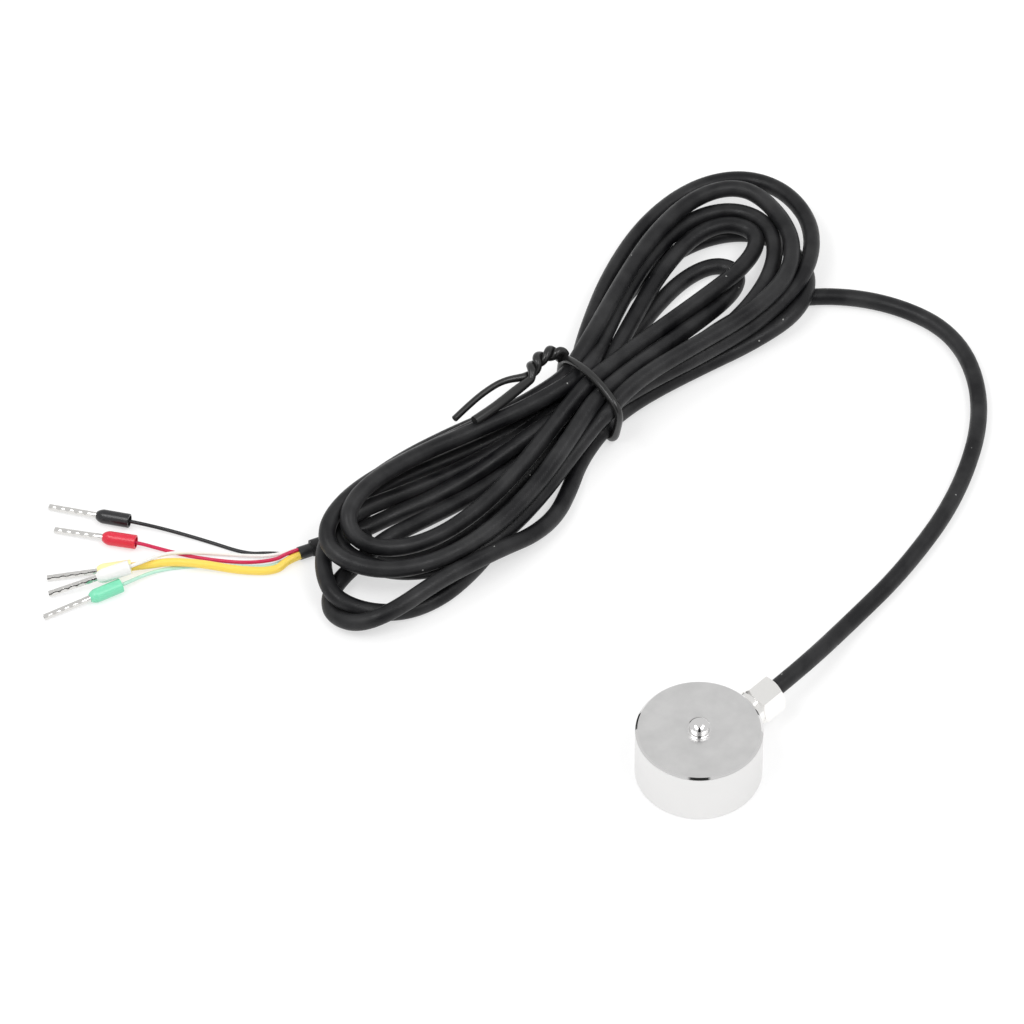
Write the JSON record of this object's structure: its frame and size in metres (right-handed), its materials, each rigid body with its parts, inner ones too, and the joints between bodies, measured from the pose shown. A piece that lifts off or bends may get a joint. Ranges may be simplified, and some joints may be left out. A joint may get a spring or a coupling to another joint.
{
  "type": "button load cell",
  "caption": "Button load cell: a low steel cylinder with a domed load button, side cable gland, and a black cable folded into a tied hank ending in coloured ferrules.",
  "frame": {"origin": "centre of the cell's underside, on the circle centre of its tapped holes", "axes": "+Z along the loading axis, up through the button; +X out along the cable gland; +Y towards the side on which the hank of cable lies"},
  "size_m": [0.148, 0.1217, 0.012],
  "materials": {
    "cell_steel": "ground stainless steel, polished button and rim",
    "cover_steel": "plain stainless steel sheet",
    "gland_steel": "bright nickel plate on a turned nut",
    "board": "green circuit board",
    "resistor": "black chip resistors",
    "gauge_film": "amber film with bright tabs",
    "enamelled_copper": "enamelled copper wire",
    "bush_rubber": "soft black rubber",
    "inner_core": "insulated cores",
    "cable_rubber": "satin black jacket",
    "end_sleeve": "satin black shrink sleeve",
    "tie_coating": "black coating on soft wire",
    "tinned_copper": "bright tin on crimped copper tube",
    "core_black": "black insulation",
    "core_red": "red insulation",
    "core_yellow": "yellow insulation",
    "core_white": "white insulation",
    "core_green": "green insulation",
    "sleeve_black": "black moulded sleeve",
    "sleeve_red": "red moulded sleeve",
    "sleeve_yellow": "yellow moulded sleeve",
    "sleeve_white": "white moulded sleeve",
    "sleeve_green": "green moulded sleeve"
  },
  "bodies": {
    "root": {"cell_body": "cell_steel", "bottom_cover": "cover_steel", "terminal_board": "board", "trim_resistors": "resistor", "strain_gauge_1": "gauge_film", "strain_gauge_2": "gauge_film", "strain_gauge_3": "gauge_film", "strain_gauge_4": "gauge_film", "gauge_leads": "enamelled_copper", "gland_nipple": "gland_steel", "gland_bush": "bush_rubber", "gland_nut": "gland_steel", "cable_root": "cable_rubber", "inner_cores": "inner_core", "cable_lead": "cable_rubber", "cable_hank": "cable_rubber", "cable_tail": "cable_rubber", "end_sleeve": "end_sleeve", "twist_tie": "tie_coating", "core_black": "core_black", "core_red": "core_red", "core_yellow": "core_yellow", "core_white": "core_white", "core_green": "core_green", "ferrule_sleeve_black": "sleeve_black", "ferrule_sleeve_red": "sleeve_red", "ferrule_sleeve_yellow": "sleeve_yellow", "ferrule_sleeve_white": "sleeve_white", "ferrule_sleeve_green": "sleeve_green", "ferrule_pin_black": "tinned_copper", "ferrule_pin_red": "tinned_copper", "ferrule_pin_yellow": "tinned_copper", "ferrule_pin_white": "tinned_copper", "ferrule_pin_green": "tinned_copper"}
  },
  "joints": []
}
